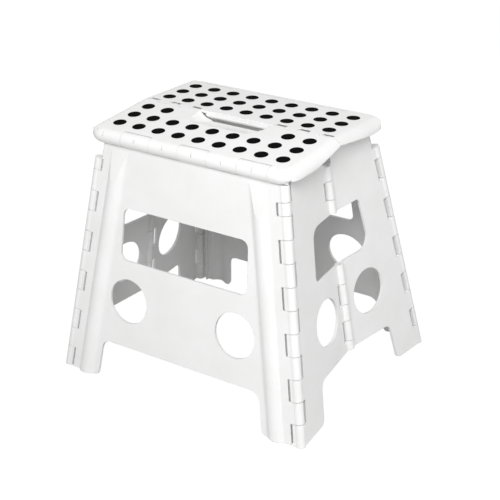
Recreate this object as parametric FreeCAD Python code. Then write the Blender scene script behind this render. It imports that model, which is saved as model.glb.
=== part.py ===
import FreeCAD, Part
import math
import os

V = FreeCAD.Vector

# A folding step stool of eight moulded panels that turn on hidden rods.
# All sizes are in millimetres and all angles in degrees. +Z is up, X runs along the seat's fold line,
# and the origin is on the floor under the middle of the seat.

# Overall form: the seat's height at its fold line, and the lines of the four corner hinges.
seat_height = 320.0
foot_half_width = 174.6
foot_half_depth = 139.0
lean_angle_x = 8.816        # degrees that a corner line leans in along the seat
lean_angle_y = 8.783        # degrees that a corner line leans in across the seat
side_tuck = 4.2             # how far each side half is already folded in when the stool stands
seat_pitch = 3.0            # fall of each seat half away from the fold line
seat_overhang = 17.9        # seat end past the corner line

# Walls and hinge barrels.
panel_wall = 3.2
panel_face = 5.2            # front face ahead of the corner lines
side_wall = 3.2
side_face = 5.2             # side face outside the corner line, half way up
corner_barrel = 6.0
side_barrel = 5.5
edge_roll = 9.2
fold_barrel = 4.5
corner_slit = 2.5           # free space round a barrel
back_corner_slit = 4.4      # the same beside the back half of a side
front_side_slit = 7.0       # the same at the fold of a side, in each half
back_side_slit = 2.0
edge_gap = 0.3
slit_end = 0.8              # how far a side's slit runs on past the panel's knuckle
knuckle_gap = 0.6           # free space between the ends of two knuckles
pin_radius = 1.6
pin_clearance = 0.05
open_clearance = 0.4        # wider eyes at the side fold that closes the ring of panels
pin_end = 1.5               # how far a rod stops short of its outer knuckle's end

# Corner knuckles: equal pairs of a side's and a panel's, and two shorter ones at the top. The highest one
# is left out at the front left and at the back right.
corner_pairs = 5
top_side_knuckle = 14.7
top_knuckle = 18.7
barrel_drop = 0.8           # top of the corner barrels below the seat's rolled edge
knuckle_lap = 6.5           # how far a side's knuckle laps onto the panel's face
knuckle_flat = 3.0          # flat at the back of a panel's knuckle, from the corner line

# Front and back panels.
ridge_line = 31.0           # ridge from the corner line
ridge_width = 22.0
ridge_height = 5.0
ridge_outer_blend = 0.8
ridge_inner_blend = 9.0
ridge_drop = 2.4            # end of the ridge below the top of the corner barrels
ridge_fade = 40.0           # length over which the ridge runs out
edge_rib_line = 12.0        # upright rib behind the panel's edge, from the corner line
edge_rib_wall = 2.0
edge_rib_depth = 4.0
window_low = 160.0
window_high = 225.0
window_half_low = 92.5
window_half_high = 89.5
window_corner = 10.0
hole_radius = 28.0
hole_offset = 78.5
hole_height = 109.5
arch_height = 50.0
arch_corner = 13.0
foot_width = 50.5           # foot's inner edge from the corner line
foot_round = 9.0            # foot's lower inner corner
foot_trim = 1.0             # foot's length below the floor, trimmed level

# Side halves.
side_drop = 0.8             # top edge below the top of the corner barrels
side_notch = 11.0           # fall of the front half's top edge towards the fold line
side_notch_width = 28.0
side_step = 9.0             # the back half's edge behind the fold line, above the notch
side_crown = 7.0            # rise of the back half's top edge towards the fold line
side_window_low = 163.5
side_window_drop = 68.6     # window's head below the top edge
side_window_edge = 53.0     # window's edge from the corner line
side_window_corner = 7.0    # the front half's lower and the back half's upper corner
side_window_shoulder = 16.0  # the front half's upper and the back half's lower corner
side_hole_radius = 28.3
side_hole_edge = 75.0       # hole's centre from the corner line
side_hole_height = 109.5
side_arch_height = 53.5     # at the fold line
side_arch_drop = 4.0        # fall of the arch towards the foot
side_arch_corner = 12.0
side_foot_width = 51.0
back_knuckle = 26.0         # knuckles of the half that wraps the rod from outside
front_knuckle = 21.0
lowest_knuckle = 12.0
upper_front_share = 0.30    # shares of the height between the window and the notch
upper_back_share = 0.385

# Seat halves.
seat_wall = 3.4
seat_round = 14.0           # rounding of the seat's ends, from above
seat_corner = 22.0          # rounding of the seat's corners in plan
end_flat = 1.5              # radius of the flat left in the middle of the rolled edge's ends
skirt_depth = 17.4          # lower edge of the skirts below the fold line's top
skirt_crown = 8.0           # the same at the fold line
front_skirt_bend = 52.0     # where the skirt's lower edge starts to rise to the fold line
back_skirt_bend = 65.0
fold_depth = 14.0           # centre hinge below the seat's top
fold_seam = 0.8
edge_knuckle = 41.2
edge_knuckle_start = -92.5
edge_slit_width = 1.3
edge_slit_height = 5.6
edge_slit_depth = 2.6
edge_slit_rise = 0.9        # lower end of a slit above the edge hinge
rib_wall = 2.0
rib_depth = 11.5
rib_line = 96.0
rib_row = 48.0
rib_start = 14.0            # ribs keep this far from the fold line

# Knuckles of the centre hinge, each side of the handle.
lug_first = 61.3
lug_margin = 20.8           # middle of the outer knuckle from the seat's end
lug_count = 3
lug_gap = 0.75
front_tongue = 5.0          # reach of a knuckle's tongue past the fold line
back_tongue = 3.0
front_tongue_slit = 2.2
back_tongue_slit = 1.0
tongue_dip = 1.4            # fall of the front half's tongues below the back half's top
notch_lip = 0.7             # edge of the back half round those tongues, undercut
notch_undercut = 4.5
eye_along = 2.75            # wide eyes of the back half: their middle from the hinge line
eye_up = 2.5
eye_travel = 3.75           # how far the rod wanders from the middle of a wide eye while the seat folds
eye_wall = 1.55

# Handle: a scoop in the front half and a round grip along the back half's edge.
scoop_half_length = 52.0
scoop_half_width = 35.0
scoop_depth = 10.0
scoop_middle = 4.0          # middle of the scoop in front of the fold line
scoop_wall = 2.6
grip_radius = 5.0
grip_half_length = 47.0
slot_half_length = 34.0
slot_width = 4.5
scoop_back = 1.1            # free space behind the scoop's wall, where the grip swings past

# Rubber grip dots, in rows along the fold line.
dot_radius = 8.0
dot_proud = 0.3
dot_seat = 1.2
dot_clearance = 0.05
dot_edge = 0.2
dot_fold_gap = 41.7         # between the two inner rows
dot_end_margin = 29.5       # middle of the outer column from the seat's end
dot_edge_margin = 20.3      # middle of the outer row from the edge hinge
dot_columns = 9
dot_rows = 3
handle_columns = 5

# Derived lines. The seat's top face is tangent to the rolled edge, and the edge hinge lies in the middle of
# the panel's wall.
lean_x = math.tan(math.radians(lean_angle_x))
lean_y = math.tan(math.radians(lean_angle_y))
fall = math.tan(math.radians(seat_pitch))
roll_rise = edge_roll / math.cos(math.radians(seat_pitch))
edge_lead = (panel_face - panel_wall / 2) / math.cos(math.radians(lean_angle_y))
edge_y = (foot_half_depth - lean_y * (seat_height - roll_rise) + edge_lead) / (1 - lean_y * fall)
edge_z = seat_height - edge_y * fall - roll_rise
seat_half_length = foot_half_width - lean_x * edge_z + seat_overhang
seat_skirt = seat_height - skirt_depth
fold_height = seat_height - fold_depth
eye_radius = eye_travel + pin_radius + open_clearance
barrel_top = edge_z - edge_roll - barrel_drop
side_top = barrel_top - side_drop
side_top_fold = side_top - side_notch
side_window_high = side_top - side_window_drop
corner_knuckle = (barrel_top - top_knuckle - top_side_knuckle) / (2 * corner_pairs)
lug_pitch = (seat_half_length - lug_margin - lug_first) / (lug_count - 1)
lug_length = lug_pitch / 2 - lug_gap
dot_pitch = (seat_half_length - dot_end_margin) / ((dot_columns - 1) / 2)
dot_row_pitch = (edge_y - dot_edge_margin - dot_fold_gap / 2) / (dot_rows - 1)
apex_z = foot_half_depth / lean_y
reach = 2 * seat_height     # larger than any piece, for cutting tools


def corner_point(z, sx=1, sy=-1):
    """Point of a corner hinge line at height z."""
    return V(sx * (foot_half_width - lean_x * z), sy * (foot_half_depth - lean_y * z), z)


def fold_point(z):
    """Point of the right side's fold line at height z."""
    half_depth = foot_half_depth - lean_y * z
    tuck = half_depth * math.tan(math.radians(side_tuck))
    return V(foot_half_width - lean_x * z - tuck, 0, z)


def rod(start, end, radius):
    return Part.makeCylinder(radius, (end - start).Length, start, end - start)


def cross_rod(x0, x1, y, z, radius):
    return rod(V(x0, y, z), V(x1, y, z), radius)


def block(x0, x1, y0, y1, z0, z1):
    return Part.makeBox(x1 - x0, y1 - y0, z1 - z0, V(x0, y0, z0))


def standing(shape):
    """What is left of a shape above the floor."""
    return shape.cut(block(-reach, reach, -reach, reach, -reach, 0))


def placed(shape, origin, ex, ey, ez):
    """A shape drawn in its own axes, moved to the stool's axes."""
    shape.Placement = FreeCAD.Placement(FreeCAD.Matrix(
        ex.x, ey.x, ez.x, origin.x,
        ex.y, ey.y, ez.y, origin.y,
        ex.z, ey.z, ez.z, origin.z,
        0, 0, 0, 1))
    return shape


def half_turned(shape):
    """A copy turned half round the vertical axis."""
    other = shape.copy()
    other.rotate(V(0, 0, 0), V(0, 0, 1), 180)
    return other


def outline(corners):
    """Flat face whose corners, each (x, y, radius), are rounded by tangent arcs."""
    points = [V(x, y, 0) for x, y, radius in corners]
    stretches = []
    for i, (x, y, radius) in enumerate(corners):
        here = points[i]
        before = (points[i - 1] - here).normalize()
        after = (points[(i + 1) % len(points)] - here).normalize()
        half = before.getAngle(after) / 2
        back = radius / math.tan(half)
        middle = (before + after).normalize() * (radius / math.sin(half) - radius)
        stretches.append((here + before * back, here + middle, here + after * back, radius))
    edges = []
    for i, (start, middle, end, radius) in enumerate(stretches):
        if radius > 0:
            edges.append(Part.Arc(start, middle, end).toShape())
        edges.append(Part.LineSegment(end, stretches[(i + 1) % len(stretches)][0]).toShape())
    return Part.Face(Part.Wire(edges))


def through(corners):
    """A cutting prism of an outline, right through a panel."""
    tool = outline(corners).extrude(V(0, 0, reach))
    tool.translate(V(0, 0, -reach / 2))
    return tool


def yz_prism(points, x0, x1):
    """A prism along X whose section is given as (y, z) points."""
    corners = [V(x0, y, z) for y, z in points]
    return Part.Face(Part.makePolygon(corners + corners[:1])).extrude(V(x1 - x0, 0, 0))


def on_circle(centre, radius, angle):
    return V(centre[0] + radius * math.cos(angle), 0, centre[1] + radius * math.sin(angle))


def arc(centre, radius, start, end):
    middle = (start + end) / 2
    return Part.Arc(*[on_circle(centre, radius, angle) for angle in (start, middle, end)]).toShape()


def lines(pairs):
    return [Part.LineSegment(start, end).toShape() for start, end in pairs]


def corner_spans():
    """Heights of the knuckles on a corner: those of the side and those of the panel."""
    starts = [2 * i * corner_knuckle for i in range(corner_pairs)]
    last = barrel_top - top_knuckle
    side = [(z, z + corner_knuckle) for z in starts] + [(last - top_side_knuckle, last)]
    panel = [(z + corner_knuckle, z + 2 * corner_knuckle) for z in starts] + [(last, barrel_top)]
    return side, panel


def to_floor(spans):
    """Spans whose lowest one runs on below the floor, to be trimmed level."""
    return [(a - corner_barrel if a == 0 else a, b) for a, b in spans]


def fold_spans():
    """Heights of the knuckles on a side's fold line: those of the back half and of the front half."""
    first = side_arch_height + lowest_knuckle
    second = first + back_knuckle + front_knuckle
    room = side_top_fold - side_window_high
    upper = side_window_high + upper_front_share * room
    upper_end = upper + upper_back_share * room
    back = [(first, first + back_knuckle),
            (second, second + back_knuckle),
            (upper, upper_end)]
    front = [(side_arch_height, first),
             (first + back_knuckle, second),
             (second + back_knuckle, side_window_low),
             (side_window_high, upper),
             (upper_end, side_top_fold)]
    return back, front


def edge_spans(turn=1):
    """Stretches of the seat's rolled edge that belong to the panel below it."""
    starts = [edge_knuckle_start + 2 * i * edge_knuckle for i in range(3)]
    spans = [(start, start + edge_knuckle) for start in starts]
    return [(min(turn * a, turn * b), max(turn * a, turn * b)) for a, b in spans]


def knuckles(line, spans, radius):
    """Barrels along a hinge line, each a little short of its span at both ends."""
    return [rod(line(a + knuckle_gap / 2), line(b - knuckle_gap / 2), radius) for a, b in spans]


def reliefs(line, spans, radius):
    """Free space for the barrels that belong to the other piece."""
    return [rod(line(a), line(b), radius) for a, b in spans]


def corner_top(sx, sy):
    """Height of a corner's highest knuckle."""
    return barrel_top if sx * sy < 0 else barrel_top - top_knuckle


def corner_bore(sx, sy):
    """Eye of a corner's rod, open below and closed above."""
    top = corner_top(sx, sy) - pin_end + knuckle_gap / 2
    return rod(corner_point(-edge_roll, sx, sy), corner_point(top, sx, sy), pin_radius + pin_clearance)


def corner_box(a, b, across, out):
    """Box along the right front corner line: from the line inwards across the panel, and out from the line."""
    normal = V(0, -1, lean_y).normalize()
    start, end = corner_point(a), corner_point(b)
    along = (end - start).normalize()
    box = Part.makeBox((end - start).Length, across[1] - across[0], out[1] - out[0], V(0, across[0], out[0]))
    return placed(box, start, along, normal.cross(along), normal)


def ridge_strip(lean):
    """Hinge strip, edge rib and ridge along the right edge of a panel, in the panel's own axes."""
    radius = (ridge_width ** 2 / 4 + ridge_height ** 2) / (2 * ridge_height)
    top = (ridge_line, panel_face + ridge_height - radius)
    level = panel_face
    ends = []
    for side, blend in ((-1, ridge_outer_blend), (1, ridge_inner_blend)):
        across = math.sqrt((radius + blend) ** 2 - (level + blend - top[1]) ** 2)
        centre = (ridge_line + side * across, level + blend)
        ends.append((centre, blend, math.atan2(top[1] - centre[1], top[0] - centre[0])))
    (outer, outer_blend, outer_angle), (inner, inner_blend, inner_angle) = ends
    width = inner[0] + ridge_inner_blend
    quarter = math.pi / 2

    def skin(depth):
        return [arc(outer, outer_blend + depth, -quarter, outer_angle),
                arc(top, radius - depth, outer_angle + math.pi, inner_angle + math.pi),
                arc(inner, inner_blend + depth, inner_angle, -quarter)]

    flat = level - panel_wall
    rim = [V(0, 0, level), V(outer[0], 0, level), V(inner[0], 0, level), V(width, 0, level)]
    inside = [V(point.x, 0, flat) for point in rim]
    front = [(rim[0], rim[1]), (rim[2], rim[3]), (rim[3], inside[3]), (inside[0], rim[0])]
    hollow_back = skin(panel_wall) + lines([(inside[3], inside[2]), (inside[1], inside[0])])
    filled_back = lines([(inside[3], inside[0])])
    rib = [V(edge_rib_line + side * edge_rib_wall / 2, 0, depth)
           for side, depth in ((-1, level), (1, level), (1, flat - edge_rib_depth), (-1, flat - edge_rib_depth))]
    sections = [skin(0) + lines(front) + back for back in (hollow_back, filled_back)]
    sections.append(lines(zip(rib, rib[1:] + rib[:1])))
    strips = []
    for edges in sections:
        face = Part.Face(Part.Wire(Part.__sortEdges__(edges))).mirror(V(0, 0, 0), V(1, 0, 0))
        face.translate(V(foot_half_width + lean * reach / 2, -reach / 2, 0))
        strips.append(face.extrude(V(-lean * reach, reach, 0)))
    return strips[0].fuse(strips[2]), strips[1], width


def panel():
    """Front panel with its window, holes, arch, ridges and hinge knuckles."""
    slope = math.sqrt(1 + lean_y ** 2)
    lean = lean_x / slope
    up = V(0, lean_y, 1) / slope
    out = V(0, -1, lean_y) / slope

    def level(z):
        return z * slope - panel_face * lean_y

    def edge(v, inset):
        return foot_half_width - lean * v - inset

    strip, filled, width = ridge_strip(lean)
    low, high, crown = level(-foot_trim), level(edge_z), level(arch_height)
    lap = width - ridge_inner_blend / 2
    sheet = outline([(-edge(low, lap), low, 0), (edge(low, lap), low, 0),
                     (edge(high, lap), high, 0), (-edge(high, lap), high, 0)])
    sheet = sheet.extrude(V(0, 0, panel_wall))
    sheet.translate(V(0, 0, panel_face - panel_wall))
    end, run, rise = level(barrel_top - ridge_drop), 2 * ridge_fade, 2 * ridge_height
    back = panel_face - panel_wall
    bend = panel_wall * math.hypot(run, rise) / rise
    taper = yz_prism([(end - run, panel_face + rise), (end, panel_face), (reach, panel_face),
                      (reach, panel_face + rise)], -reach, reach)
    cap = yz_prism([(end - run - bend, panel_face + rise), (end - run, panel_face + rise),
                    (end, panel_face), (reach, panel_face), (reach, back), (end - bend, back),
                    (end - bend, panel_face)], -reach, reach)
    strip = strip.cut(taper).fuse(filled.common(cap))
    shape = sheet.fuse([strip, strip.mirror(V(0, 0, 0), V(1, 0, 0))])
    right = [(edge(crown, foot_width), crown, arch_corner), (edge(low, foot_width), low, foot_round),
             (edge(low, -corner_barrel), low, 0), (edge(high, -corner_barrel), high, 0)]
    contour = through(right + [(-x, v, radius) for x, v, radius in reversed(right)])
    window = through([(-window_half_low, level(window_low), window_corner),
                      (window_half_low, level(window_low), window_corner),
                      (window_half_high, level(window_high), window_corner),
                      (-window_half_high, level(window_high), window_corner)])
    holes = [Part.makeCylinder(hole_radius, reach, V(side * hole_offset, level(hole_height), -reach / 2))
             for side in (-1, 1)]
    shape = shape.common(contour).cut([window] + holes)
    shape = placed(shape, V(0, -foot_half_depth, 0), V(1, 0, 0), up, out)

    side_spans, panel_spans = corner_spans()
    for sx, own in ((-1, panel_spans[:-1]), (1, panel_spans)):
        line = lambda z: corner_point(z, sx)
        shape = shape.cut(reliefs(line, to_floor(side_spans), math.hypot(knuckle_lap + corner_slit, panel_face)))
        if sx < 0:
            shape = shape.cut(rod(line(corner_top(sx, -1)), line(edge_z), corner_barrel + corner_slit))
        for a, b in own:
            flat = corner_box(a, b, (-corner_barrel, corner_barrel), (-corner_barrel, -knuckle_flat))
            if sx < 0:
                flat = flat.mirror(V(0, 0, 0), V(1, 0, 0))
            shape = shape.fuse([barrel.cut(flat) for barrel in knuckles(line, [(a, b)], corner_barrel)])
        shape = shape.cut(corner_bore(sx, -1))
    spans = edge_spans()
    clear = cross_rod(-seat_half_length, seat_half_length, -edge_y, edge_z, edge_roll + edge_gap)
    necks = [block(a + knuckle_gap / 2, b - knuckle_gap / 2, -reach, reach, 0, reach) for a, b in spans]
    shape = shape.cut(clear).fuse([shape.common(neck) for neck in necks])
    shape = shape.fuse([cross_rod(a + knuckle_gap / 2, b - knuckle_gap / 2, -edge_y, edge_z, edge_roll)
                        for a, b in spans])
    shape = shape.cut(cross_rod(-seat_half_length, seat_half_length, -edge_y, edge_z,
                                pin_radius + pin_clearance))
    shape = shape.cut([edge_mark((a + b) / 2) for a, b in spans])
    return standing(shape).removeSplitter()


def edge_mark(x):
    """Short upright slit in the middle of a knuckle of the rolled edge."""
    face = -edge_y - edge_roll
    low = edge_z + edge_slit_rise
    return block(x - edge_slit_width / 2, x + edge_slit_width / 2, face - edge_roll, face + edge_slit_depth,
                 low, low + edge_slit_height)


def side_axes():
    """Axes of the right front half's outer face: from the fold line to the corner, up, and inwards."""
    apex = corner_point(apex_z)
    up = (apex - fold_point(0)).normalize()
    corner = corner_point(0) - fold_point(0)
    across = (corner - up * corner.dot(up)).normalize()
    inward = across.cross(up)
    middle = corner_point(hole_height) - fold_point(hole_height)
    turn = math.asin(side_face / middle.Length)
    turned = across * math.cos(turn) - inward * math.sin(turn)
    return turned.normalize(), up, turned.cross(up)


def side_sheet(front):
    """Sheet of a right half, drawn in front of the fold line, with its share of the window, hole and foot."""
    across, up, inward = side_axes()
    scale = 1 / up.z
    tip = (corner_point(apex_z) - fold_point(0)).Length
    corner = corner_point(0) - fold_point(0)
    spread = corner.dot(across) / (tip - corner.dot(up))

    def edge(v, inset):
        return (tip - v) * spread - inset

    low, crown = -foot_trim, side_arch_height * scale
    top, top_fold = side_top * scale, side_top_fold * scale
    upper = [(side_notch_width, top, 0), (0, top_fold, 0)]
    lower_corner, upper_corner = side_window_corner, side_window_shoulder
    if not front:
        upper = [(side_step, top + side_crown, 0), (side_step, top_fold, 0), (0, top_fold, 0)]
        lower_corner, upper_corner = side_window_shoulder, side_window_corner
    spring = crown - side_arch_drop
    sheet = outline([(0, crown, 0), (edge(spring, side_foot_width), spring, side_arch_corner),
                     (edge(low, side_foot_width), low, foot_round), (edge(low, 0), low, 0),
                     (edge(top, 0), top, 0)] + upper)
    sheet = sheet.extrude(V(0, 0, side_wall))
    sill, head = side_window_low * scale, side_window_high * scale
    past = -side_barrel - front_side_slit
    window = through([(past, sill, 0), (edge(sill, side_window_edge), sill, lower_corner),
                      (edge(head, side_window_edge), head, upper_corner), (past, head, 0)])
    middle = side_hole_height * scale
    hole = Part.makeCylinder(side_hole_radius, reach, V(edge(middle, side_hole_edge), middle, -reach / 2))
    return placed(sheet.cut([window, hole]), fold_point(0), across, up, inward)


def side_half(front, eye_clearance=pin_clearance):
    """Right side half, in front of or behind the fold line."""
    sy = -1 if front else 1
    shape = side_sheet(front)
    if not front:
        shape = shape.mirror(V(0, 0, 0), V(0, 1, 0))
    line = lambda z: corner_point(z, 1, sy)
    side_spans, panel_spans = corner_spans()
    back, ahead = fold_spans()
    own, other = (ahead, back) if front else (back, ahead)
    slits = [(a - slit_end, b + slit_end) for a, b in panel_spans]
    corner, fold = (corner_slit, front_side_slit) if front else (back_corner_slit, back_side_slit)
    shape = shape.cut(reliefs(line, slits, corner_barrel + corner))
    shape = shape.cut(reliefs(fold_point, other, side_barrel + fold))
    laps = [corner_box(a + knuckle_gap / 2, b - knuckle_gap / 2, (0, knuckle_lap),
                       (panel_face - panel_wall, panel_face)) for a, b in to_floor(side_spans)]
    if not front:
        laps = [lap.mirror(V(0, 0, 0), V(0, 1, 0)) for lap in laps]
    barrels = knuckles(line, to_floor(side_spans), corner_barrel)
    shape = shape.fuse(barrels + laps + knuckles(fold_point, own, side_barrel))
    eye = rod(fold_point(0), fold_point(side_top_fold - pin_end + knuckle_gap / 2), pin_radius + eye_clearance)
    shape = shape.cut([corner_bore(1, sy), eye])
    return standing(shape).removeSplitter()


def seat_top(y):
    return seat_height - abs(y) * fall


def end_rounded(inset, normal, down):
    """Long prism under the sloping top with rounded upper ends, set in from the seat's outside."""
    half, corner = seat_half_length - inset, seat_round - inset
    face = outline([(-half, -reach, 0), (half, -reach, 0), (half, -inset, corner), (-half, -inset, corner)])
    return placed(face.extrude(V(0, 0, reach)), V(0, 0, seat_height), V(1, 0, 0), normal, down)


def edge_roll_solid():
    """The seat's rolled edge with domed ends, spun about the edge hinge."""
    turn = math.acos((end_flat + seat_corner - edge_roll) / seat_corner)
    start = seat_half_length - seat_corner
    dome = [V(start + seat_corner * math.sin(angle), 0, edge_roll - seat_corner + seat_corner * math.cos(angle))
            for angle in (0, turn / 2, turn)]
    tip = V(dome[2].x, 0, 0)
    quarter = [Part.Arc(*dome).toShape()] + lines([(dome[2], tip), (V(0, 0, 0), V(0, 0, edge_roll)),
                                                   (tip, V(0, 0, 0)), (V(0, 0, edge_roll), dome[0])])
    half = Part.Face(Part.Wire(Part.__sortEdges__(quarter))).revolve(V(0, 0, 0), V(1, 0, 0), 360)
    roll = half.fuse(half.mirror(V(0, 0, 0), V(1, 0, 0))).removeSplitter()
    roll.translate(V(0, -edge_y, edge_z))
    return roll


def seat_plan(inset):
    """Upright prism over the front half with its rounded corners, set in from the seat's outside."""
    half, front, corner = seat_half_length - inset, edge_y + edge_roll - inset, seat_corner - inset
    plan = through([(-half, -front, corner), (half, -front, corner), (half, reach, 0), (-half, reach, 0)])
    plan.translate(V(0, 0, seat_height))
    return plan


def seat_shell(skirt_bend):
    """Front seat half: sloping top, rolled front edge and end skirts, open below."""
    lip = fold_seam / 2
    pitch = math.radians(seat_pitch)
    normal = V(0, -math.sin(pitch), math.cos(pitch))
    down = V(0, -math.cos(pitch), -math.sin(pitch))
    tangent = V(0, -edge_y, edge_z) + normal * edge_roll
    half = seat_half_length
    roof = yz_prism([(-edge_y, seat_skirt), (-skirt_bend, seat_skirt), (-lip, seat_height - skirt_crown),
                     (-lip, seat_top(lip)), (tangent.y, tangent.z), (-edge_y, edge_z)], -half, half)
    hollow = yz_prism([(lip, seat_height), (-edge_y, seat_height), (-edge_y, 0), (lip, 0)], -half, half)
    hollow = hollow.common(end_rounded(seat_wall, normal, down)).common(seat_plan(seat_wall))
    roof = roof.common(end_rounded(0, normal, down)).common(seat_plan(0))
    return roof.cut(hollow).fuse(edge_roll_solid())


def seat_ribs():
    """Stiffening ribs under the front half."""
    ends = seat_half_length - seat_round
    back = edge_y - edge_roll / 2
    low = seat_height - rib_depth
    slab = yz_prism([(-rib_start, seat_top(rib_start) - seat_wall / 2),
                     (-back, seat_top(back) - seat_wall / 2), (-back, low), (-rib_start, low)], -ends, ends)
    strips = [block(x - rib_wall / 2, x + rib_wall / 2, -reach, 0, 0, reach)
              for x in (-rib_line, -rib_line / 2, rib_line / 2, rib_line)]
    strips.append(block(-ends, ends, -rib_row - rib_wall / 2, -rib_row + rib_wall / 2, 0, reach))
    return [slab.common(strip) for strip in strips]


def scoop(grow):
    """Tool for the scoop: a flat-bottomed line with an arc at each end, spun about a line above the seat."""
    turn_radius = (scoop_half_width ** 2 + scoop_depth ** 2) / (2 * scoop_depth)
    axis_z = seat_height - scoop_depth + turn_radius
    flat, low = slot_half_length, seat_height - scoop_depth - grow
    radius = ((scoop_half_length - flat) ** 2 + scoop_depth ** 2) / (2 * scoop_depth) + grow
    turn = math.acos(1 - (seat_height - low) / radius)
    right = [V(flat + radius * math.sin(angle), 0, low + radius * (1 - math.cos(angle)))
             for angle in (0, turn / 2, turn)]
    left = [V(-point.x, 0, point.z) for point in reversed(right)]
    above = [V(point.x, 0, axis_z) for point in (right[2], left[0])]
    edges = [Part.Arc(*left).toShape(), Part.Arc(*right).toShape()]
    edges += lines([(left[2], right[0]), (right[2], above[0]), (above[0], above[1]), (above[1], left[0])])
    face = Part.Face(Part.Wire(Part.__sortEdges__(edges)))
    tool = face.revolve(V(0, 0, axis_z), V(1, 0, 0), 360)
    tool.translate(V(0, -scoop_middle, 0))
    return tool


def lug_places(offset):
    """Middles of one half's centre hinge knuckles, left and right of the handle."""
    count = lug_count if offset == 0 else lug_count - 1
    places = [lug_first + offset + i * lug_pitch for i in range(count)]
    return [-x for x in reversed(places)] + places


def lug(x, front):
    """Knuckle of the centre hinge with the tongue that crosses the seam, drawn for the front half."""
    x0, x1 = x - lug_length / 2, x + lug_length / 2
    y, z, radius, tongue, dip = 0, fold_height, fold_barrel, front_tongue, tongue_dip
    if not front:
        y, z, radius, tongue, dip = -eye_along, fold_height + eye_up, eye_radius + eye_wall, back_tongue, 0
    web = yz_prism([(y - radius, z), (0, z), (tongue, seat_top(tongue) - seat_wall),
                    (tongue, seat_top(tongue) - dip), (0, seat_height),
                    (y - radius, seat_top(y - radius))], x0, x1)
    return web.fuse(cross_rod(x0, x1, y, z, radius))


def fold_bores(y, z, radius):
    """Bores of the centre hinge, left and right of the handle."""
    inner = lug_first - lug_length / 2 - lug_gap
    outer = seat_half_length - lug_margin + lug_length / 2 + lug_gap
    return [cross_rod(a, b, y, z, radius) for a, b in ((inner, outer), (-outer, -inner))]


def seat_half(front):
    """One seat half with its knuckles, ribs and its share of the handle."""
    turn = 1 if front else -1
    shell = seat_shell(front_skirt_bend if front else back_skirt_bend).fuse(seat_ribs())
    spans = edge_spans(turn)
    shell = shell.cut([cross_rod(a, b, -edge_y, edge_z, edge_roll + edge_gap) for a, b in spans])
    own = lug_places(0) if front else lug_places(lug_pitch / 2)
    other = lug_places(lug_pitch / 2) if front else lug_places(0)
    notch = (lug_length + lug_gap) / 2
    notch_end = back_tongue + back_tongue_slit if front else front_tongue + front_tongue_slit
    shell = shell.cut([block(x - notch, x + notch, -notch_end, reach, 0, reach) for x in other])
    if not front:
        top, under = seat_top(notch_end) - notch_lip, seat_top(notch_end) - 2 * seat_wall
        shell = shell.cut([yz_prism([(-notch_end, top), (-notch_end - notch_undercut, top - seat_wall),
                                     (-notch_end, under)], x - notch, x + notch) for x in other])
    shell = shell.fuse([lug(x, front) for x in own])
    pins = seat_half_length - seat_round
    shell = shell.cut(cross_rod(-pins, pins, -edge_y, edge_z, pin_radius + pin_clearance))
    if front:
        below = block(-reach, reach, -reach, -scoop_back, 0, seat_height - seat_wall)
        shell = shell.fuse(scoop(scoop_wall).common(below)).cut(scoop(0))
        slot = slot_half_length
        shell = shell.cut(block(-slot, slot, -slot_width, fold_seam, 0, seat_height))
        shell = shell.cut(fold_bores(0, fold_height, pin_radius + pin_clearance))
    else:
        grip_y = -grip_radius - fold_seam / 2
        grip_z = seat_top(grip_y) - grip_radius
        grip = cross_rod(-grip_half_length, grip_half_length, grip_y, grip_z, grip_radius)
        ends = [edge for edge in grip.Edges if edge.BoundBox.XLength < grip_radius]
        shell = shell.fuse(grip.makeFillet(grip_radius - end_flat, ends))
        shell = shell.cut(fold_bores(-eye_along, fold_height + eye_up, eye_radius))
    marks = [(a[1] + b[0]) / 2 for a, b in zip(spans, spans[1:])]
    marks.append(turn * (edge_knuckle_start - seat_half_length) / 2)
    shell = shell.cut([edge_mark(x) for x in marks])
    recess = dot_radius + dot_clearance
    shell = shell.cut([dot_solid(x, s, recess, 2 * dot_proud, 0) for x, s in dots(front)])
    if not front:
        shell = shell.mirror(V(0, 0, 0), V(0, 1, 0))
    return shell.removeSplitter()


def dots(front):
    """Places of one half's grip dots: along the fold line, and down the slope from it."""
    middle = (dot_columns - 1) // 2
    places = []
    for row in range(dot_rows):
        for column in range(-middle, middle + 1):
            in_handle = front and row == 0 and abs(column) <= handle_columns // 2
            if not in_handle:
                places.append((column * dot_pitch, dot_fold_gap / 2 + row * dot_row_pitch))
    return places


def dot_solid(x, slope_way, radius, proud, edge):
    """A dot, or the recess that it sits in, square to the front half's sloping top."""
    pitch = math.radians(seat_pitch)
    normal = V(0, -math.sin(pitch), math.cos(pitch))
    foot = V(x, -slope_way * math.cos(pitch), seat_height - slope_way * math.sin(pitch)) - normal * dot_seat
    solid = Part.makeCylinder(radius, dot_seat + proud, foot, normal)
    if edge == 0:
        return solid
    top = max(solid.Edges, key=lambda item: item.CenterOfMass.z)
    return solid.makeFillet(edge, [top])


def grip_dots(front):
    """All the rubber dots of one half, as separate solids."""
    group = Part.Compound([dot_solid(x, s, dot_radius, dot_proud, dot_edge) for x, s in dots(front)])
    return group if front else group.mirror(V(0, 0, 0), V(0, 1, 0))


def edge_pin(turn):
    """Rod of a seat edge hinge."""
    half = seat_half_length - seat_round - pin_end
    return cross_rod(-half, half, -turn * edge_y, edge_z, pin_radius)


def fold_pin(side):
    """Rod of the centre hinge, left or right of the handle."""
    inner = lug_first - lug_length / 2 + pin_end
    outer = seat_half_length - lug_margin + lug_length / 2 - pin_end
    return cross_rod(side * inner, side * outer, 0, fold_height, pin_radius)


def side_pin(low, high):
    """Rod of the right side's fold line, below or above the window."""
    return rod(fold_point(low + pin_end), fold_point(high - pin_end), pin_radius)


def corner_pin(sx, sy):
    """Rod of a corner hinge."""
    return rod(corner_point(pin_end, sx, sy), corner_point(corner_top(sx, sy) - pin_end, sx, sy), pin_radius)


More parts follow.
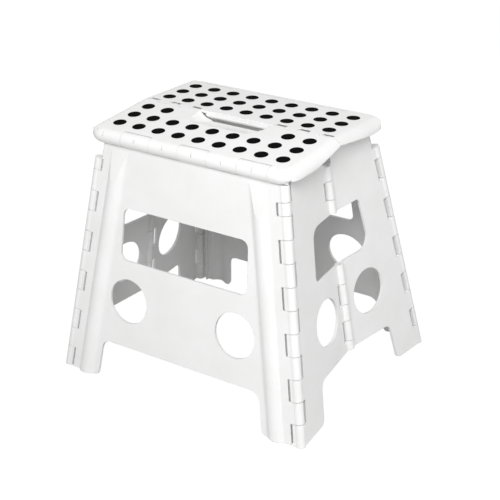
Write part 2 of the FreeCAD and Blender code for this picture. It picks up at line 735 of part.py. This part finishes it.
def main():
    os.makedirs("parts", exist_ok=True)
    nodes = {
        "front_panel": panel(),
        "seat_front": seat_half(True),
        "seat_back": seat_half(False),
        "grip_dots_front": grip_dots(True),
        "grip_dots_back": grip_dots(False),
        "side_right_front": side_half(True),
        "side_right_back": side_half(False),
        "edge_pin_front": edge_pin(1),
        "edge_pin_back": edge_pin(-1),
        "fold_pin_left": fold_pin(-1),
        "fold_pin_right": fold_pin(1),
        "side_pin_right_lower": side_pin(side_arch_height, side_window_low),
        "side_pin_right_upper": side_pin(side_window_high, side_top_fold),
    }
    nodes["back_panel"] = half_turned(nodes["front_panel"])
    nodes["side_left_back"] = half_turned(nodes["side_right_front"])
    nodes["side_left_front"] = half_turned(side_half(False, open_clearance))
    nodes["side_pin_left_lower"] = half_turned(nodes["side_pin_right_lower"])
    nodes["side_pin_left_upper"] = half_turned(nodes["side_pin_right_upper"])
    for depth, sy in (("front", -1), ("back", 1)):
        for width, sx in (("left", -1), ("right", 1)):
            nodes["corner_pin_" + depth + "_" + width] = corner_pin(sx, sy)
    for name, shape in nodes.items():
        shape.exportStep("parts/" + name + ".step")


main()
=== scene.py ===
import math
import bpy
from mathutils import Matrix, Vector

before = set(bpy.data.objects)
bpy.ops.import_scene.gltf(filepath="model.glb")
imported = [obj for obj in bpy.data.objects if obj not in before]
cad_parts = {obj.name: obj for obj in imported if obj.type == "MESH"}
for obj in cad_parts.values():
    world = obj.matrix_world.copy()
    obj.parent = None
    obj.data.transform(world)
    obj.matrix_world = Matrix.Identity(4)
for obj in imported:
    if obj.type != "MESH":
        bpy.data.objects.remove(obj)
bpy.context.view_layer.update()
MM = 0.001

# Marks of the materials, as the size of one mark. The real grain of the plastic is about 0.1 mm and the
# tooth of the rubber about 0.2 mm; both are drawn coarser, so that they show in the render.
PLASTIC_FLOW = 45 * MM
PLASTIC_GRAIN = 0.9 * MM
PLASTIC_GRAIN_DEPTH = 0.05 * MM
PLASTIC_EDGE_RADIUS = 0.7 * MM
RUBBER_TOOTH = 0.8 * MM
RUBBER_TOOTH_DEPTH = 0.1 * MM
RUBBER_WEAR = 12 * MM
STEEL_LINE = 0.3 * MM
STEEL_LINE_STRETCH = (1.0, 1.0, 0.05)

# Camera, fitted to the photograph's frame: angles in degrees, places in metres, lens in millimetres.
CAMERA_AZIMUTH = 35.554
CAMERA_ELEVATION = 26.081
CAMERA_ROLL = -1.962
CAMERA_AIM = (0.21789, -0.285, 0.32)
CAMERA_NUDGE_ACROSS = -0.0006
CAMERA_NUDGE_UP = 0.0005
CAMERA_DISTANCE = 1.19524
CAMERA_SENSOR = 36.0
CAMERA_LENS = 92.785

# Studio: a pale floor, an even white room, a broad key from the front and a weaker fill from the right.
WHITE = (1, 1, 1, 1)
FLOOR_SIZE = 12
FLOOR_COLOUR = "#D0D0D0"
FLOOR_GLOW = 1.14
FLOOR_GLOW_SHARE = 0.85
ROOM_LIGHT = 0.46
ROOM_SEEN = 1.0
SOFTBOXES = (
    # name, place, aim, side, power
    ("key", (0.62, -1.05, 1.25), (0, 0, 0.25), 0.7, 17),
    ("fill", (2.4, 0.3, 1.4), (0, 0, 0.15), 1.4, 8),
)


def linear(hex_colour):
    """An sRGB hex colour as linear RGBA."""
    parts = [int(hex_colour[i:i + 2], 16) / 255 for i in (1, 3, 5)]
    return [p / 12.92 if p <= 0.04045 else ((p + 0.055) / 1.055) ** 2.4 for p in parts] + [1.0]


def add(tree, kind, values=None, links=None, **settings):
    """Adds a shader node, sets its properties and socket values, and links its sockets
    to the outputs of other nodes."""
    node = tree.nodes.new(kind)
    for key, value in settings.items():
        setattr(node, key, value)
    for socket, value in (values or {}).items():
        node.inputs[socket].default_value = value
    for socket, (source, output) in (links or {}).items():
        tree.links.new(source.outputs[output], node.inputs[socket])
    return node


def new_material(name):
    """An empty node material and its tree."""
    material = bpy.data.materials.new(name)
    material.use_nodes = True
    material.node_tree.nodes.clear()
    return material, material.node_tree


def noise(tree, vector, mark, detail, roughness=0.5):
    """Noise with marks of the given size."""
    return add(tree, "ShaderNodeTexNoise",
               {"Scale": 1 / mark, "Detail": detail, "Roughness": roughness}, {"Vector": vector})


def tone(tree, source, dark, pale, low=0.0, high=1.0):
    """A ramp between two close colours, driven by a noise from low to high."""
    ramp = add(tree, "ShaderNodeValToRGB", links={"Fac": (source, "Fac")})
    for stop, position, colour in zip(ramp.color_ramp.elements, (low, high), (dark, pale)):
        stop.position = position
        stop.color = linear(colour)
    return ramp


def gloss(tree, source, low, high):
    """A roughness that wanders between two values with a noise."""
    return add(tree, "ShaderNodeMapRange", {"To Min": low, "To Max": high}, {"Value": (source, "Fac")})


def moulded_white_polypropylene():
    """Injection-moulded polypropylene, filled white: a soft satin gloss over a fine spark-eroded grain,
    with faint flow marks where the melt met and a small radius on every edge."""
    material, tree = new_material("moulded_white_polypropylene")
    place = add(tree, "ShaderNodeTexCoord")
    flow = noise(tree, (place, "Object"), PLASTIC_FLOW, detail=3.0, roughness=0.55)
    grain = noise(tree, (place, "Object"), PLASTIC_GRAIN, detail=2.0, roughness=0.6)
    tint = tone(tree, flow, "#F0F0EF", "#F5F5F5", low=0.3, high=0.7)
    satin = gloss(tree, flow, 0.34, 0.44)
    rounded = add(tree, "ShaderNodeBevel", {"Radius": PLASTIC_EDGE_RADIUS}, samples=6)
    bump = add(tree, "ShaderNodeBump", {"Strength": 0.06, "Distance": PLASTIC_GRAIN_DEPTH},
               {"Height": (grain, "Fac"), "Normal": (rounded, "Normal")})
    skin = add(tree, "ShaderNodeBsdfPrincipled", {"IOR": 1.49, "Specular IOR Level": 0.35},
               {"Base Color": (tint, "Color"), "Roughness": (satin, "Result"), "Normal": (bump, "Normal")})
    add(tree, "ShaderNodeOutputMaterial", links={"Surface": (skin, "BSDF")})
    return material


def black_grip_rubber():
    """Over-moulded thermoplastic rubber: near black, dull, with a slight dusty tooth."""
    material, tree = new_material("black_grip_rubber")
    place = add(tree, "ShaderNodeTexCoord")
    tooth = noise(tree, (place, "Object"), RUBBER_TOOTH, detail=3.0)
    wear = noise(tree, (place, "Object"), RUBBER_WEAR, detail=2.0)
    tint = tone(tree, wear, "#050505", "#0B0B0B")
    bump = add(tree, "ShaderNodeBump", {"Strength": 0.2, "Distance": RUBBER_TOOTH_DEPTH},
               {"Height": (tooth, "Fac")})
    skin = add(tree, "ShaderNodeBsdfPrincipled",
               {"IOR": 1.5, "Roughness": 0.85, "Specular IOR Level": 0.02},
               {"Base Color": (tint, "Color"), "Normal": (bump, "Normal")})
    add(tree, "ShaderNodeOutputMaterial", links={"Surface": (skin, "BSDF")})
    return material


def drawn_steel_rod():
    """Bright drawn steel: fine lines along the rod."""
    material, tree = new_material("drawn_steel_rod")
    place = add(tree, "ShaderNodeTexCoord")
    stretch = add(tree, "ShaderNodeMapping", {"Scale": STEEL_LINE_STRETCH}, {"Vector": (place, "Object")})
    lines = noise(tree, (stretch, "Vector"), STEEL_LINE, detail=2.0)
    sheen = gloss(tree, lines, 0.25, 0.4)
    skin = add(tree, "ShaderNodeBsdfPrincipled", {"Metallic": 1.0, "Base Color": linear("#BEBEC0")},
               {"Roughness": (sheen, "Result")})
    add(tree, "ShaderNodeOutputMaterial", links={"Surface": (skin, "BSDF")})
    return material


def white_floor():
    """Matte for the light that falls on it, and mostly plain white to the camera,
    so that a little of the stool's shadow stays."""
    material, tree = new_material("white_floor")
    matte = add(tree, "ShaderNodeBsdfDiffuse", {"Color": linear(FLOOR_COLOUR)})
    glow = add(tree, "ShaderNodeEmission", {"Color": WHITE, "Strength": FLOOR_GLOW})
    path = add(tree, "ShaderNodeLightPath")
    share = add(tree, "ShaderNodeMath", {1: FLOOR_GLOW_SHARE}, {0: (path, "Is Camera Ray")},
                operation="MULTIPLY")
    mixed = add(tree, "ShaderNodeMixShader",
                links={0: (share, "Value"), 1: (matte, "BSDF"), 2: (glow, "Emission")})
    add(tree, "ShaderNodeOutputMaterial", links={"Surface": (mixed, "Shader")})
    return material


def white_room():
    """White where the camera, a reflection or a see-through path meets it, and dimmer as a light."""
    world = bpy.data.worlds.new("studio")
    bpy.context.scene.world = world
    world.use_nodes = True
    tree = world.node_tree
    tree.nodes.clear()
    path = add(tree, "ShaderNodeLightPath")
    sharp = add(tree, "ShaderNodeMath",
                links={0: (path, "Is Camera Ray"), 1: (path, "Is Glossy Ray")}, operation="MAXIMUM")
    seen = add(tree, "ShaderNodeMath",
               links={0: (sharp, "Value"), 1: (path, "Is Transmission Ray")}, operation="MAXIMUM")
    room = add(tree, "ShaderNodeBackground", {"Color": WHITE, "Strength": ROOM_LIGHT})
    white = add(tree, "ShaderNodeBackground", {"Color": WHITE, "Strength": ROOM_SEEN})
    mixed = add(tree, "ShaderNodeMixShader",
                links={0: (seen, "Value"), 1: (room, "Background"), 2: (white, "Background")})
    add(tree, "ShaderNodeOutputWorld", links={"Surface": (mixed, "Shader")})


def softbox(name, place, aim, side, power):
    """A square area lamp that faces its aim."""
    lamp = bpy.data.lights.new(name, "AREA")
    lamp.shape = "SQUARE"
    lamp.size = side
    lamp.energy = power
    item = bpy.data.objects.new(name, lamp)
    item.location = place
    item.rotation_mode = "QUATERNION"
    item.rotation_quaternion = (Vector(aim) - Vector(place)).to_track_quat("-Z", "Y")
    bpy.context.scene.collection.objects.link(item)


def fitted_camera():
    """The camera, turned about its aim by azimuth, elevation and roll."""
    azimuth, elevation, roll = (
        math.radians(a) for a in (CAMERA_AZIMUTH, CAMERA_ELEVATION, CAMERA_ROLL))
    back = Vector((math.sin(azimuth) * math.cos(elevation),
                   -math.cos(azimuth) * math.cos(elevation),
                   math.sin(elevation)))
    right = Vector((math.cos(azimuth), math.sin(azimuth), 0))
    up = back.cross(right)
    across = right * math.cos(roll) + up * math.sin(roll)
    over = up * math.cos(roll) - right * math.sin(roll)
    turn = Matrix((across, over, back)).transposed().to_4x4()
    aim = Vector(CAMERA_AIM) + across * CAMERA_NUDGE_ACROSS + over * CAMERA_NUDGE_UP
    lens = bpy.data.cameras.new("camera")
    lens.sensor_width = CAMERA_SENSOR
    lens.lens = CAMERA_LENS
    camera = bpy.data.objects.new("camera", lens)
    camera.matrix_world = Matrix.Translation(aim + back * CAMERA_DISTANCE) @ turn
    bpy.context.scene.collection.objects.link(camera)
    bpy.context.scene.camera = camera


def paint(piece, material):
    """Gives a piece one material."""
    piece.data.materials.clear()
    piece.data.materials.append(material)


plastic = moulded_white_polypropylene()
rubber = black_grip_rubber()
steel = drawn_steel_rod()

for name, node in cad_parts.items():
    paint(node, steel if "pin" in name else rubber if "dots" in name else plastic)

fitted_camera()

bpy.ops.mesh.primitive_plane_add(size=FLOOR_SIZE)
floor = bpy.context.object
floor.name = "floor"
paint(floor, white_floor())

white_room()
for box in SOFTBOXES:
    softbox(*box)

bpy.context.scene.view_settings.view_transform = "Standard"
